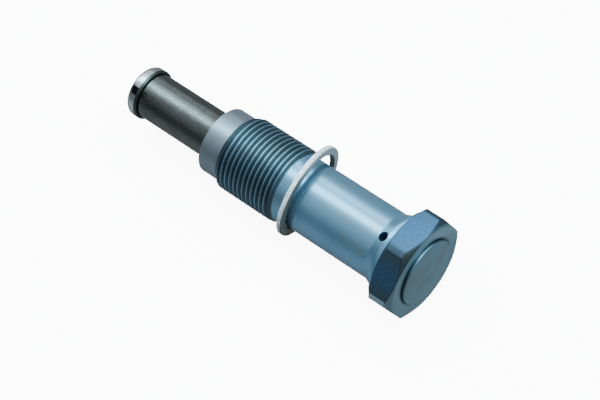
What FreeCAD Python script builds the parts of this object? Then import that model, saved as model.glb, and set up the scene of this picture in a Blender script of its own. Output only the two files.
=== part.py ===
import FreeCAD, Part
import math
import os

import Sketcher

# A screw-in hydraulic chain tensioner, lying along X with its hex head towards +X.
# The origin is on the screw axis, in the face under the head that clamps the seal ring.
# Millimetres, +Z up. The hex lies on one of its flats.

doc = FreeCAD.newDocument("chain_tensioner")
sheet = doc.addObject("Spreadsheet::Sheet", "sizes")

SIZES = {
    "hex_across_flats": 27.0,
    "hex_turned_radius": 15.1,
    "flats_cut_margin": 2.0,
    "face_radius": 13.2,
    "head_thickness": 7.9,
    "head_chamfer_depth": 1.1,
    "washer_face_height": 0.5,
    "boss_height": 0.65,
    "boss_top_radius": 9.4,
    "boss_base_radius": 9.9,
    "pilot_radius": 11.0,
    "pilot_length": 1.5,
    "flare_length": 2.8,
    "shank_radius": 9.78,
    "shank_length": 29.8,
    "runout_length": 2.1,
    "thread_radius": 11.0,
    "thread_length": 17.6,
    "nose_radius": 9.74,
    "nose_length": 6.34,
    "nose_edge": 0.35,
    "bore_radius": 7.5,
    "bore_floor_depth": 12.0,
    "bore_mouth_chamfer": 0.3,
    "valve_pocket_radius": 5.0,
    "valve_pocket_depth": 4.0,
    "feed_radius": 3.0,
    "feed_end_depth": 0.9,
    "feed_cone_depth": 1.8,
    "oil_hole_radius": 1.25,
    "oil_hole_distance": 2.9,
    "oil_hole_heading": 68.0,
    "ring_clearance": 0.1,
    "ring_width": 2.35,
    "ring_thickness": 1.5,
    "ring_edge": 0.2,
    "ring_setback": 2.5,
    "ring_lean": 8.5,
    "ring_lean_heading": 48.0,
    "ring_lift_heading": 115.0,
    "seat_clearance": 0.01,
    "stop_wire_radius": 0.5,
    "stop_groove_radius": 8.0,
    "stop_groove_clearance": 0.05,
    "stop_ring_setback": 1.8,
    "stop_ring_angle": 325.0,
    "plunger_radius": 6.75,
    "plunger_bore_radius": 5.2,
    "plunger_reach": 25.2,
    "plunger_edge": 0.3,
    "land_clearance": 0.05,
    "land_length": 22.0,
    "stop_clearance": 0.02,
    "cap_radius": 7.5,
    "cap_length": 4.1,
    "cap_front_rounding": 2.4,
    "cap_back_edge": 0.4,
    "cap_spigot_length": 3.0,
    "cap_spigot_edge": 0.3,
    "spring_mean_radius": 4.3,
    "spring_wire_radius": 0.6,
    "spring_turns": 9.0,
    "coil_corners": 12.0,
    "wire_corners": 6.0,
    "seat_hole_radius": 1.2,
    "seat_cone_radius": 2.0,
    "ball_radius": 2.0,
    "cage_flange_radius": 6.3,
    "cage_wall": 0.5,
    "cage_cup_radius": 3.2,
    "cage_cup_length": 5.2,
    "cage_window_radius": 0.7,
    "cage_end_hole_radius": 0.9,
    "valve_spring_mean_radius": 1.3,
    "valve_spring_wire_radius": 0.15,
    "valve_spring_turns": 3.0,
    "filler_radius": 3.2,
    "filler_length": 43.0,
    "filler_edge": 0.6,
}

# Sizes that follow from the driving ones. A distance is measured from the origin towards the nose.
DERIVED = {
    "head_top": "head_thickness + boss_height",
    "hex_corner_radius": "hex_across_flats / sqrt(3)",
    "flare_start": "pilot_length + flare_length",
    "shank_end": "flare_start + shank_length",
    "thread_back": "shank_end + runout_length",
    "ring_bore_radius": "thread_radius + ring_clearance",
    "ring_outer_radius": "ring_bore_radius + ring_width",
    "ring_distance": "shank_end - ring_setback",
    "thread_front": "thread_back + thread_length",
    "nose_start": "thread_front + thread_radius - nose_radius",
    "nose_end": "nose_start + nose_length",
    "land_radius": "bore_radius - land_clearance",
    "stop_ring_radius": "stop_groove_radius - stop_groove_clearance - stop_wire_radius",
    "stop_ring_distance": "nose_end - stop_ring_setback",
    "shoulder_distance": "stop_ring_distance - stop_wire_radius - stop_clearance",
    "plunger_end": "nose_end + plunger_reach",
    "plunger_shoulder": "plunger_end - shoulder_distance",
    "plunger_length": "plunger_shoulder + land_length",
    "spigot_end": "plunger_end - cap_spigot_length",
    "cap_long_step": "cap_front_rounding * (1 - sin(30))",
    "cap_short_step": "cap_front_rounding * (1 - cos(30))",
    "spring_foot": "bore_floor_depth + cage_wall",
    "spring_length": "spigot_end - spring_foot",
    "cage_end": "bore_floor_depth + cage_cup_length",
    "cage_inner_radius": "cage_cup_radius - cage_wall",
    "seat_cone_depth": "seat_cone_radius - seat_hole_radius",
    "ball_distance": "bore_floor_depth - seat_cone_radius + ball_radius * sqrt(2) + seat_clearance",
}


def fill_sheet():
    """Write the driving sizes and then the sizes that follow from them."""
    rows = [(name, repr(value)) for name, value in SIZES.items()]
    rows += [(name, "=" + rule) for name, rule in DERIVED.items()]
    for row, (name, text) in enumerate(rows, start=1):
        sheet.set("A%d" % row, name)
        sheet.set("B%d" % row, text)
        sheet.setAlias("B%d" % row, name)
    doc.recompute()


def size(name):
    return float(getattr(sheet, name))


def bound(expression):
    """The expression with every size name pointing at the sheet."""
    words = []
    for word in expression.split():
        words.append("sizes." + word if word in SIZES or word in DERIVED else word)
    return " ".join(words)


def value_of(expression):
    names = {name: size(name) for name in list(SIZES) + list(DERIVED)}
    total = 0.0
    sign = 1.0
    for word in expression.split():
        if word == "-":
            sign = -1.0
        elif word == "+":
            sign = 1.0
        else:
            total += sign * (names[word] if word in names else float(word))
    return total


def plane(body, role):
    return next(feature for feature in body.Origin.OriginFeatures if feature.Role == role)


def new_body(name, distance="0"):
    """A body whose own X runs from its datum towards the nose, which is towards -X in the part's frame."""
    body = doc.addObject("PartDesign::Body", name)
    body.Label = name
    body.Placement.Rotation = FreeCAD.Rotation(FreeCAD.Vector(0, 0, 1), 180)
    body.setExpression("Placement.Base.x", "-1 * (" + bound(distance) + ")")
    return body


def turned_sketch(body, name, corners):
    """A closed outline of straight edges; each corner is a distance and a radius bound to the sheet."""
    sketch = body.newObject("Sketcher::SketchObject", name)
    sketch.AttachmentSupport = (plane(body, "XY_Plane"), [""])
    sketch.MapMode = "FlatFace"
    points = [FreeCAD.Vector(value_of(along), value_of(out), 0) for along, out in corners]
    count = len(points)
    for index in range(count):
        sketch.addGeometry(Part.LineSegment(points[index], points[(index + 1) % count]), False)
    for index in range(count):
        sketch.addConstraint(Sketcher.Constraint("Coincident", index, 2, (index + 1) % count, 1))
    for index, (along, out) in enumerate(corners):
        for kind, expression, value in (
            ("DistanceX", along, points[index].x),
            ("DistanceY", out, points[index].y),
        ):
            number = sketch.addConstraint(Sketcher.Constraint(kind, -1, 1, index, 1, value))
            label = "%s_%d" % ("along" if kind == "DistanceX" else "out", index)
            sketch.renameConstraint(number, label)
            if expression != "0":
                sketch.setExpression("Constraints." + label, bound(expression))
    return sketch


def turn(body, name, corners, angle=360.0, kind="PartDesign::Revolution"):
    """Turn an outline about the body's own X axis, as added or as removed metal."""
    sketch = turned_sketch(body, name + "_outline", corners)
    feature = body.newObject(kind, name)
    feature.Profile = sketch
    feature.ReferenceAxis = (sketch, ["H_Axis"])
    feature.Angle = angle
    sketch.Visibility = False
    body.Tip = feature
    return feature


def make_housing():
    body = new_body("housing")
    body.setExpression("Placement.Base.x", "sizes.head_top")
    under_head = "head_top + "
    outline = [
        ("0", "0"),
        ("0", "boss_top_radius"),
        ("boss_height", "boss_base_radius"),
        ("boss_height", "face_radius"),
        ("boss_height + head_chamfer_depth", "hex_turned_radius"),
        ("head_top - washer_face_height - head_chamfer_depth", "hex_turned_radius"),
        ("head_top - washer_face_height", "face_radius"),
        ("head_top", "face_radius"),
        ("head_top", "pilot_radius"),
        (under_head + "pilot_length", "pilot_radius"),
        (under_head + "flare_start", "shank_radius"),
        (under_head + "shank_end", "shank_radius"),
        (under_head + "thread_back", "thread_radius"),
        (under_head + "thread_front", "thread_radius"),
        (under_head + "nose_start", "nose_radius"),
        (under_head + "nose_end - nose_edge", "nose_radius"),
        (under_head + "nose_end", "nose_radius - nose_edge"),
        (under_head + "nose_end", "0"),
    ]
    turn(body, "turned_blank", outline)
    cut_hexagon(body)
    bore = [
        (under_head + "nose_end", "0"),
        (under_head + "nose_end", "bore_radius + bore_mouth_chamfer"),
        (under_head + "nose_end - bore_mouth_chamfer", "bore_radius"),
        (under_head + "bore_floor_depth", "bore_radius"),
        (under_head + "bore_floor_depth", "valve_pocket_radius"),
        (under_head + "bore_floor_depth - valve_pocket_depth", "valve_pocket_radius"),
        (under_head + "bore_floor_depth - valve_pocket_depth", "feed_radius"),
        (under_head + "feed_end_depth", "feed_radius"),
        (under_head + "feed_end_depth - feed_cone_depth", "0"),
    ]
    turn(body, "stepped_bore", bore, kind="PartDesign::Groove")
    groove = [
        (under_head + "stop_ring_distance - stop_wire_radius", "bore_radius - land_clearance"),
        (under_head + "stop_ring_distance - stop_wire_radius", "stop_groove_radius"),
        (under_head + "stop_ring_distance + stop_wire_radius", "stop_groove_radius"),
        (under_head + "stop_ring_distance + stop_wire_radius", "bore_radius - land_clearance"),
    ]
    turn(body, "stop_groove", groove, kind="PartDesign::Groove")
    cut_oil_hole(body)
    return body


def cut_hexagon(body):
    """Mill the six flats: everything outside the hexagon goes, the turned corners stay."""
    sketch = body.newObject("Sketcher::SketchObject", "flats_outline")
    sketch.AttachmentSupport = (plane(body, "YZ_Plane"), [""])
    sketch.MapMode = "FlatFace"
    centre = FreeCAD.Vector(0, 0, 0)
    up = FreeCAD.Vector(0, 0, 1)
    outer_radius = size("hex_corner_radius") + size("flats_cut_margin")
    sketch.addGeometry(Part.Circle(centre, up, outer_radius), False)
    sketch.addGeometry(Part.Circle(centre, up, size("hex_corner_radius")), True)
    sketch.addConstraint(Sketcher.Constraint("Coincident", 0, 3, -1, 1))
    sketch.addConstraint(Sketcher.Constraint("Coincident", 1, 3, -1, 1))
    outer = sketch.addConstraint(Sketcher.Constraint("Radius", 0, outer_radius))
    corner = sketch.addConstraint(Sketcher.Constraint("Radius", 1, size("hex_corner_radius")))
    sketch.renameConstraint(outer, "outer")
    sketch.renameConstraint(corner, "corner")
    sketch.setExpression("Constraints.outer", "sizes.hex_corner_radius + sizes.flats_cut_margin")
    sketch.setExpression("Constraints.corner", "sizes.hex_corner_radius")
    corners = []
    for index in range(6):
        turn_by = math.radians(60.0 * index)
        reach = size("hex_corner_radius")
        corners.append(FreeCAD.Vector(reach * math.cos(turn_by), reach * math.sin(turn_by), 0))
    first = 2
    for index in range(6):
        sketch.addGeometry(Part.LineSegment(corners[index], corners[(index + 1) % 6]), False)
    for index in range(6):
        following = first + (index + 1) % 6
        sketch.addConstraint(Sketcher.Constraint("Coincident", first + index, 2, following, 1))
        sketch.addConstraint(Sketcher.Constraint("PointOnObject", first + index, 1, 1))
    for index in range(1, 6):
        sketch.addConstraint(Sketcher.Constraint("Equal", first, first + index))
    sketch.addConstraint(Sketcher.Constraint("PointOnObject", first, 1, -1))
    pocket = body.newObject("PartDesign::Pocket", "hex_flats")
    pocket.Profile = sketch
    pocket.Type = 0
    pocket.setExpression("Length", "sizes.head_top")
    pocket.Reversed = True
    body.Tip = pocket


def cut_oil_hole(body):
    """Drill the oil hole through the flare into the feed chamber."""
    sketch = body.newObject("Sketcher::SketchObject", "oil_hole_outline")
    sketch.AttachmentSupport = (plane(body, "XY_Plane"), [""])
    sketch.MapMode = "FlatFace"
    turn_down = FreeCAD.Rotation(FreeCAD.Vector(-1, 0, 0), 90.0 - size("oil_hole_heading"))
    sketch.AttachmentOffset = FreeCAD.Placement(FreeCAD.Vector(0, 0, 0), turn_down)
    sketch.setExpression("AttachmentOffset.Rotation.Angle", "90 - sizes.oil_hole_heading")
    centre = FreeCAD.Vector(size("head_top") + size("oil_hole_distance"), 0, 0)
    sketch.addGeometry(Part.Circle(centre, FreeCAD.Vector(0, 0, 1), size("oil_hole_radius")), False)
    sketch.addConstraint(Sketcher.Constraint("PointOnObject", 0, 3, -1))
    place = sketch.addConstraint(Sketcher.Constraint("DistanceX", -1, 1, 0, 3, centre.x))
    radius = sketch.addConstraint(Sketcher.Constraint("Radius", 0, size("oil_hole_radius")))
    sketch.renameConstraint(place, "place")
    sketch.renameConstraint(radius, "opening")
    sketch.setExpression("Constraints.place", "sizes.head_top + sizes.oil_hole_distance")
    sketch.setExpression("Constraints.opening", "sizes.oil_hole_radius")
    drill = body.newObject("PartDesign::Pocket", "oil_hole")
    drill.Profile = sketch
    drill.Type = 0
    drill.Reversed = True
    drill.setExpression("Length", "sizes.hex_corner_radius")
    body.Tip = drill


def make_seal_ring():
    """The ring leans on the shank that it hangs on, so its place follows from both sizes."""
    body = doc.addObject("PartDesign::Body", "seal_ring")
    body.Label = "seal_ring"
    half = [
        ("0", "ring_bore_radius"),
        ("ring_thickness", "ring_bore_radius"),
        ("ring_thickness", "ring_outer_radius - ring_edge"),
        ("ring_thickness - ring_edge", "ring_outer_radius"),
        ("ring_edge", "ring_outer_radius"),
        ("0", "ring_outer_radius - ring_edge"),
    ]
    turn(body, "ring", half)
    heading = math.radians(size("ring_lean_heading"))
    leaning_side = FreeCAD.Vector(0, -math.cos(heading), math.sin(heading))
    axis = leaning_side.cross(FreeCAD.Vector(1, 0, 0))
    lean = FreeCAD.Rotation(axis, size("ring_lean"))
    lift_heading = math.radians(size("ring_lift_heading"))
    lift = FreeCAD.Vector(0, -math.cos(lift_heading), math.sin(lift_heading))
    lift.multiply(ring_lift(lean, lift))
    middle = FreeCAD.Vector(-size("ring_distance"), 0, 0) + lift
    half_thickness = lean.multVec(FreeCAD.Vector(size("ring_thickness") / 2.0, 0, 0))
    body.Placement = FreeCAD.Placement(middle - half_thickness, lean)
    return body


def ring_lift(lean, direction):
    """How far the leaning ring can shift along this direction before its bore meets the shank."""
    edges = []
    for step in range(720):
        angle = math.radians(step / 2.0)
        out = size("ring_bore_radius")
        for along in (-0.5 * size("ring_thickness"), 0.5 * size("ring_thickness")):
            point = FreeCAD.Vector(along, out * math.cos(angle), out * math.sin(angle))
            edges.append(lean.multVec(point))
    wanted = size("shank_radius") + size("seat_clearance")
    low, high = 0.0, size("ring_bore_radius")
    for _ in range(40):
        middle = 0.5 * (low + high)
        nearest = min(
            math.hypot(edge.y + middle * direction.y, edge.z + middle * direction.z) for edge in edges
        )
        if nearest > wanted:
            low = middle
        else:
            high = middle
    return low


def make_stop_ring():
    """Open ring of square wire in its groove near the bore's mouth."""
    body = new_body("stop_ring", "stop_ring_distance - stop_wire_radius")
    inside = "stop_ring_radius - stop_wire_radius"
    outside = "stop_ring_radius + stop_wire_radius"
    wire = "stop_wire_radius + stop_wire_radius"
    ring = turn(body, "open_ring", [("0", inside), (wire, inside), (wire, outside), ("0", outside)])
    ring.setExpression("Angle", "sizes.stop_ring_angle")
    return body


def make_plunger():
    """Ground tube with a wider guide land that stops against the wire ring."""
    body = new_body("plunger", "shoulder_distance - land_length")
    outline = [
        ("0", "plunger_bore_radius"),
        ("0", "land_radius"),
        ("land_length", "land_radius"),
        ("land_length", "plunger_radius"),
        ("plunger_length - plunger_edge", "plunger_radius"),
        ("plunger_length", "plunger_radius - plunger_edge"),
        ("plunger_length", "plunger_bore_radius"),
    ]
    turn(body, "sleeve", outline)
    return body


def make_thrust_cap():
    """Polished end piece, pressed into the plunger's end by its spigot. Its front is rounded in three steps."""
    body = new_body("thrust_cap", "spigot_end")
    end = "cap_spigot_length + cap_length"
    outline = [
        ("0", "0"),
        ("0", "plunger_bore_radius - cap_spigot_edge"),
        ("cap_spigot_edge", "plunger_bore_radius"),
        ("cap_spigot_length", "plunger_bore_radius"),
        ("cap_spigot_length", "cap_radius - cap_back_edge"),
        ("cap_spigot_length + cap_back_edge", "cap_radius"),
        (end + " - cap_front_rounding", "cap_radius"),
        (end + " - cap_long_step", "cap_radius - cap_short_step"),
        (end + " - cap_short_step", "cap_radius - cap_long_step"),
        (end, "cap_radius - cap_front_rounding"),
        (end, "0"),
    ]
    turn(body, "cap", outline)
    return body


def make_valve_seat():
    body = new_body("valve_seat", "bore_floor_depth - valve_pocket_depth")
    outline = [
        ("0", "seat_hole_radius"),
        ("0", "valve_pocket_radius"),
        ("valve_pocket_depth", "valve_pocket_radius"),
        ("valve_pocket_depth", "seat_cone_radius"),
        ("valve_pocket_depth - seat_cone_depth", "seat_hole_radius"),
    ]
    turn(body, "seat", outline)
    return body


def make_check_ball():
    ball = doc.addObject("Part::Sphere", "check_ball")
    ball.Label = "check_ball"
    ball.setExpression("Radius", "sizes.ball_radius")
    ball.Placement.Rotation = FreeCAD.Rotation(FreeCAD.Vector(0, 1, 0), 90)
    ball.setExpression("Placement.Base.x", "-1 * sizes.ball_distance")
    return ball


def make_valve_cage():
    """Pressed cup with a flange under the main spring, an end hole and three windows."""
    body = new_body("valve_cage", "bore_floor_depth")
    outline = [
        ("0", "cage_inner_radius"),
        ("0", "cage_flange_radius"),
        ("cage_wall", "cage_flange_radius"),
        ("cage_wall", "cage_cup_radius"),
        ("cage_cup_length", "cage_cup_radius"),
        ("cage_cup_length", "cage_end_hole_radius"),
        ("cage_cup_length - cage_wall", "cage_end_hole_radius"),
        ("cage_cup_length - cage_wall", "cage_inner_radius"),
    ]
    turn(body, "cup", outline)
    window = body.newObject("Sketcher::SketchObject", "window_outline")
    window.AttachmentSupport = (plane(body, "XY_Plane"), [""])
    window.MapMode = "FlatFace"
    centre = FreeCAD.Vector(size("cage_cup_length") / 2.0, 0, 0)
    window.addGeometry(Part.Circle(centre, FreeCAD.Vector(0, 0, 1), size("cage_window_radius")), False)
    window.addConstraint(Sketcher.Constraint("PointOnObject", 0, 3, -1))
    place = window.addConstraint(Sketcher.Constraint("DistanceX", -1, 1, 0, 3, centre.x))
    radius = window.addConstraint(Sketcher.Constraint("Radius", 0, size("cage_window_radius")))
    window.renameConstraint(place, "place")
    window.renameConstraint(radius, "opening")
    window.setExpression("Constraints.place", "sizes.cage_cup_length / 2")
    window.setExpression("Constraints.opening", "sizes.cage_window_radius")
    cut = body.newObject("PartDesign::Pocket", "window")
    cut.Profile = window
    cut.Type = 0
    cut.Reversed = True
    cut.setExpression("Length", "sizes.cage_flange_radius")
    body.Tip = cut
    doc.recompute()
    pattern = body.newObject("PartDesign::PolarPattern", "windows")
    pattern.Originals = [cut]
    pattern.Axis = (plane(body, "X_Axis"), [""])
    pattern.Angle = 360
    pattern.Occurrences = 3
    body.Tip = pattern
    return body


def make_filler_pin():
    body = new_body("filler_pin", "cage_end")
    outline = [
        ("0", "0"),
        ("0", "filler_radius"),
        ("filler_length - filler_edge", "filler_radius"),
        ("filler_length", "filler_radius - filler_edge"),
        ("filler_length", "0"),
    ]
    turn(body, "pin", outline)
    return body


def make_coil(name, foot, length, mean_radius, wire_radius, turns):
    """A coil spring between two planes, its ends ground flat: few-sided wire along a few-cornered helix."""
    space = doc.addObject("Part::Cylinder", name + "_space")
    space.setExpression("Radius", bound(mean_radius) + " + 2 * " + bound(wire_radius))
    space.setExpression("Height", length)
    wire = doc.addObject("Part::RegularPolygon", name + "_wire")
    wire.setExpression("Circumradius", bound(wire_radius))
    wire.Polygon = int(size("wire_corners"))
    wire.Placement.Rotation = FreeCAD.Rotation(FreeCAD.Vector(1, 0, 0), 90)
    wire.setExpression("Placement.Base.x", bound(mean_radius))
    doc.recompute()
    corners = int(size("coil_corners"))
    count = int(corners * size(turns))
    nodes = []
    for index in range(count + 1):
        angle = math.radians(360.0 * index / corners)
        reach = size(mean_radius)
        height = space.Height.Value * index / count
        nodes.append(FreeCAD.Vector(reach * math.cos(angle), reach * math.sin(angle), height))
    line = doc.addObject("Part::Polygon", name + "_line")
    line.Nodes = nodes
    line.Close = False
    doc.recompute()
    sweep = doc.addObject("Part::Sweep", name + "_sweep")
    sweep.Sections = [wire]
    sweep.Spine = (line, ["Edge%d" % (n + 1) for n in range(len(line.Shape.Edges))])
    sweep.Solid = True
    sweep.Frenet = False
    sweep.Transition = "Right corner"
    ground = doc.addObject("Part::Common", name)
    ground.Label = name
    ground.Base = sweep
    ground.Tool = space
    ground.Placement.Rotation = FreeCAD.Rotation(FreeCAD.Vector(0, 1, 0), -90)
    ground.setExpression("Placement.Base.x", foot)
    return ground


def make_springs():
    tension = make_coil(
        "tension_spring",
        "-1 * sizes.spring_foot",
        "sizes.spring_length",
        "spring_mean_radius",
        "spring_wire_radius",
        "spring_turns",
    )
    reach = "sqrt((sizes.ball_radius + sizes.valve_spring_wire_radius) ^ 2 - sizes.valve_spring_mean_radius ^ 2)"
    foot = "(sizes.ball_distance + " + reach + ")"
    valve = make_coil(
        "valve_spring",
        "-1 * " + foot,
        "(sizes.cage_end - sizes.cage_wall - " + foot + ")",
        "valve_spring_mean_radius",
        "valve_spring_wire_radius",
        "valve_spring_turns",
    )
    return [tension, valve]


def check_document():
    for item in doc.Objects:
        if "Invalid" in item.State or "Error" in item.State:
            raise RuntimeError("failed object: " + item.Name)


def write_parts(parts):
    os.makedirs("parts", exist_ok=True)
    for part in parts:
        shape = part.Shape
        if shape.isNull() or not shape.isValid() or len(shape.Solids) != 1:
            raise RuntimeError("bad shape: " + part.Label)
        shape.exportStep("parts/" + part.Label + ".step")
        box = shape.BoundBox
        print(
            part.Label,
            "volume %.1f" % shape.Volume,
            "x %.2f..%.2f y %.2f..%.2f z %.2f..%.2f" % (box.XMin, box.XMax, box.YMin, box.YMax, box.ZMin, box.ZMax),
        )


fill_sheet()
parts = [
    make_housing(),
    make_seal_ring(),
    make_stop_ring(),
    make_plunger(),
    make_thrust_cap(),
    make_valve_seat(),
    make_check_ball(),
    make_valve_cage(),
    make_filler_pin(),
]
parts += make_springs()
doc.recompute()
check_document()
write_parts(parts)
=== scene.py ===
import math

import bmesh
import bpy
from mathutils import Matrix, Vector


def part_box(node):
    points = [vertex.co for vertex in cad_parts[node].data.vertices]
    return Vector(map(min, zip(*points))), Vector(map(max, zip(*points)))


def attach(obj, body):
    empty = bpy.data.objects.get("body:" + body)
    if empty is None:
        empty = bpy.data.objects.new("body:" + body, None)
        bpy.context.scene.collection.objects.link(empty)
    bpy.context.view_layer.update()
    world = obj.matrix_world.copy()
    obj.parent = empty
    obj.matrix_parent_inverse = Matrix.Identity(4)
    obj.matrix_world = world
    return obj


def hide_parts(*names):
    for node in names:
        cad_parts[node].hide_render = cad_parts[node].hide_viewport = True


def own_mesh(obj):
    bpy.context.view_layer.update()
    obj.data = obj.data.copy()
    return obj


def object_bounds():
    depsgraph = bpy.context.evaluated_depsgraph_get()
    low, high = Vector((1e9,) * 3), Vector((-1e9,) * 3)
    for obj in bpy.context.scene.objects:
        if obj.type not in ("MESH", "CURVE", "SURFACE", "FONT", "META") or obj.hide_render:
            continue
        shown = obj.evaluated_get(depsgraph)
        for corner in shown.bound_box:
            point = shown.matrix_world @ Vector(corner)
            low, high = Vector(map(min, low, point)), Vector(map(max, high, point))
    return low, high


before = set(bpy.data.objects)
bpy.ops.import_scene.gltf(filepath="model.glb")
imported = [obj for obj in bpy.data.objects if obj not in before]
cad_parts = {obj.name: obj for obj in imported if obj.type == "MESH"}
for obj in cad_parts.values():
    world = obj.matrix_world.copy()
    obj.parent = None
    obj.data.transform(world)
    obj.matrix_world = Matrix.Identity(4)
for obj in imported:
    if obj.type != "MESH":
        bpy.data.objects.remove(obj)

bl_info = {
    "name": "Chain Tensioner",
    "version": (1, 0, 0),
    "blender": (4, 5, 0),
    "location": "View3D > Sidebar > Tensioner",
    "description": "Builds the finished look of a screw-in hydraulic chain tensioner",
    "category": "Add Mesh",
}

MM = 0.001
# How many faces go round the housing and ring, the plunger and cap, and the oil hole.
HOUSING_STEPS = 144
PLUNGER_STEPS = 96
HOLE_STEPS = 48

# The boxes of the CAD pieces, which give the sizes that the looks have to share with them.
CAD_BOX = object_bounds()
HOUSING_LOW, HOUSING_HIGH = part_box("housing")
PLUNGER_LOW, PLUNGER_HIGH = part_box("plunger")
CAP_LOW, CAP_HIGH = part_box("thrust_cap")
RING_LOW, RING_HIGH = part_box("seal_ring")
SPRING_LOW, SPRING_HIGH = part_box("tension_spring")
VALVE_SPRING_LOW, VALVE_SPRING_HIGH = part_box("valve_spring")


def length(name, description, default):
    """A length property in metres."""
    return bpy.props.FloatProperty(
        name=name, description=description, default=default, unit="LENGTH", precision=5, subtype="DISTANCE"
    )


def angle(name, description, degrees):
    """An angle property, its default given in degrees."""
    return bpy.props.FloatProperty(
        name=name, description=description, default=math.radians(degrees), subtype="ANGLE"
    )


def number(name, description, default):
    """A plain number property."""
    return bpy.props.FloatProperty(name=name, description=description, default=default)


def count(name, description, default):
    """A whole number property."""
    return bpy.props.IntProperty(name=name, description=description, default=default)


def colour(name, description, default):
    """A colour property without alpha."""
    return bpy.props.FloatVectorProperty(
        name=name, description=description, default=default, subtype="COLOR", size=3, min=0.0, max=1.0
    )


class HousingSizes(bpy.types.PropertyGroup):
    """Turned and milled sizes of the housing. X is measured from the clamping face under the head."""

    flat_distance: length("Flat distance", "From the axis to a hex flat", HOUSING_HIGH.z)
    corner_radius: length("Corner radius", "Turned radius of the hex corners", HOUSING_HIGH.y)
    face_radius: length("Face radius", "Where the head's chamfers start", 13.2 * MM)
    head_thickness: length("Head thickness", "From the clamping face to the head's end face", 7.9 * MM)
    head_chamfer: length("Head chamfer", "Depth of the chamfer at the corners", 1.1 * MM)
    washer_face: length("Washer face", "Height of the round face under the hex", 0.5 * MM)
    boss_top_radius: length("Boss radius", "Radius of the raised round boss", 9.4 * MM)
    boss_base_radius: length("Boss foot", "Radius at the foot of the boss", 9.9 * MM)
    pilot_radius: length("Pilot radius", "Short collar that centres the seal ring", 11.0 * MM)
    pilot_length: length("Pilot length", "Length of that collar", 1.5 * MM)
    flare_length: length("Flare length", "Cone between collar and shank", 2.8 * MM)
    shank_radius: length("Shank radius", "Plain shank", 9.78 * MM)
    runout_start: length("Run-out start", "Where the cone behind the thread meets the shank", -34.1 * MM)
    runout_end: length("Run-out end", "Where that cone meets the thread's outside", -36.2 * MM)
    thread_front: length("Thread front", "Where the thread's outside meets its lead chamfer", -53.8 * MM)
    thread_radius: length("Thread radius", "Outside of the thread", 11.0 * MM)
    thread_pitch: length("Thread pitch", "Lead of the single-start thread", 1.5 * MM)
    thread_depth: length("Thread depth", "Crest to root", 0.84 * MM)
    thread_phase: number("Thread phase", "Shift of the helix towards the head as a share of its pitch", 0.235)
    nose_start: length("Nose start", "Where the lead chamfer meets the nose", -55.06 * MM)
    nose_radius: length("Nose radius", "Plain nose in front of the thread", 9.74 * MM)
    bore_radius: length("Bore radius", "Main bore", 7.5 * MM)
    groove_radius: length("Groove radius", "Groove of the stop ring", 8.0 * MM)
    groove_start: length("Groove start", "Inner wall of the stop ring's groove", -59.1 * MM)
    groove_end: length("Groove end", "Outer wall of the stop ring's groove", -60.1 * MM)
    bore_floor: length("Bore floor", "Floor of the main bore", -12.0 * MM)
    pocket_radius: length("Pocket radius", "Pocket of the valve seat", 5.0 * MM)
    pocket_floor: length("Pocket floor", "Floor of that pocket", -8.0 * MM)
    feed_radius: length("Feed radius", "Feed chamber behind the valve", 3.0 * MM)
    feed_end: length("Feed end", "Where the feed chamber's drill cone starts", -0.9 * MM)
    oil_hole_radius: length("Oil hole", "Radius of the oil hole", 1.25 * MM)
    oil_hole_place: length("Oil hole place", "Centre of the oil hole along X", -2.9 * MM)
    oil_hole_heading: angle("Oil hole heading", "Turn of the oil hole from -Y up towards +Z", 68.0)


class PlungerSizes(bpy.types.PropertyGroup):
    """Sizes of the sliding plunger, its end cap and the springs."""

    sleeve_radius: length("Plunger radius", "Ground outside of the plunger", 6.75 * MM)
    sleeve_bore: length("Plunger bore", "Inside of the plunger", 5.2 * MM)
    land_radius: length("Land radius", "Guide land inside the housing", PLUNGER_HIGH.z)
    land_front: length("Land front", "Shoulder that meets the stop ring", -59.08 * MM)
    cap_radius: length("Cap radius", "Widest radius of the end cap", CAP_HIGH.z)
    cap_rounding: length("Cap rounding", "Rounding of the cap's front edge", 2.4 * MM)
    cap_back: length("Cap back", "Back face of the cap", PLUNGER_LOW.x)
    cap_shoulder: length("Cap shoulder", "Rounding of the cap's back edge", 0.85 * MM)
    spring_mean_radius: length("Spring radius", "Mean radius of the tension spring", 4.3 * MM)
    spring_wire: length("Spring wire", "Wire radius of the tension spring", 0.6 * MM)
    spring_turns: count("Spring turns", "Open turns of the tension spring", 9)
    valve_spring_radius: length("Valve spring radius", "Mean radius of the valve spring", 1.3 * MM)
    valve_spring_wire: length("Valve spring wire", "Wire radius of the valve spring", 0.15 * MM)
    valve_spring_turns: count("Valve spring turns", "Open turns of the valve spring", 3)


class RingSizes(bpy.types.PropertyGroup):
    """Sizes of the loose seal ring and how it leans on the shank."""

    bore_radius: length("Ring bore", "Radius of the ring's bore", 11.1 * MM)
    outer_radius: length("Ring outside", "Outer radius of the ring", 13.45 * MM)
    thickness: length("Ring thickness", "Thickness of the ring", 1.5 * MM)
    edge: length("Ring edge", "Broken outer edges", 0.3 * MM)
    lean: angle("Lean", "Tilt out of square", 8.5)
    lean_heading: angle("Lean heading", "Side that leans towards the head, from -Y up towards +Z", 48.0)


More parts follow.
